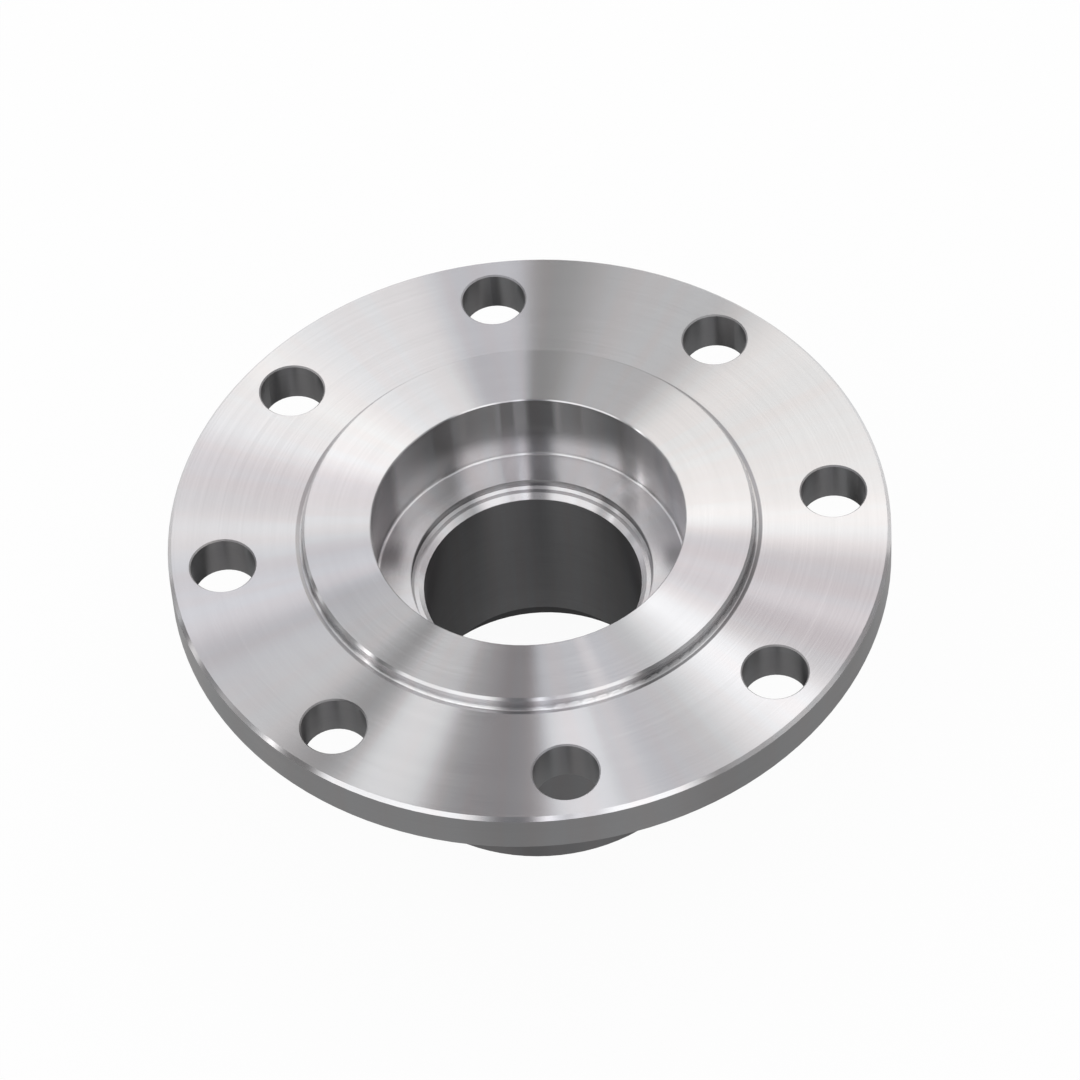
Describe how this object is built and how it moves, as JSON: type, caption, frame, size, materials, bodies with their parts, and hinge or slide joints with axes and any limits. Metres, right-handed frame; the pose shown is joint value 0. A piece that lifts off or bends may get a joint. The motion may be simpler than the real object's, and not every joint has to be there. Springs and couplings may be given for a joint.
{
  "type": "pipe flange",
  "caption": "Round turned steel pipe flange with a raised joint face, a ring of bolt holes, a stepped central bore and a plain cylindrical hub.",
  "frame": {"origin": "centre of the hub's end face, on which the flange stands", "axes": "+Z along the flange's axis, out of the raised joint face; +X through a bolt hole"},
  "size_m": [0.2, 0.2, 0.091],
  "materials": {
    "turned_steel": "turned, satin"
  },
  "bodies": {
    "root": {"flange": "turned_steel"}
  },
  "joints": []
}
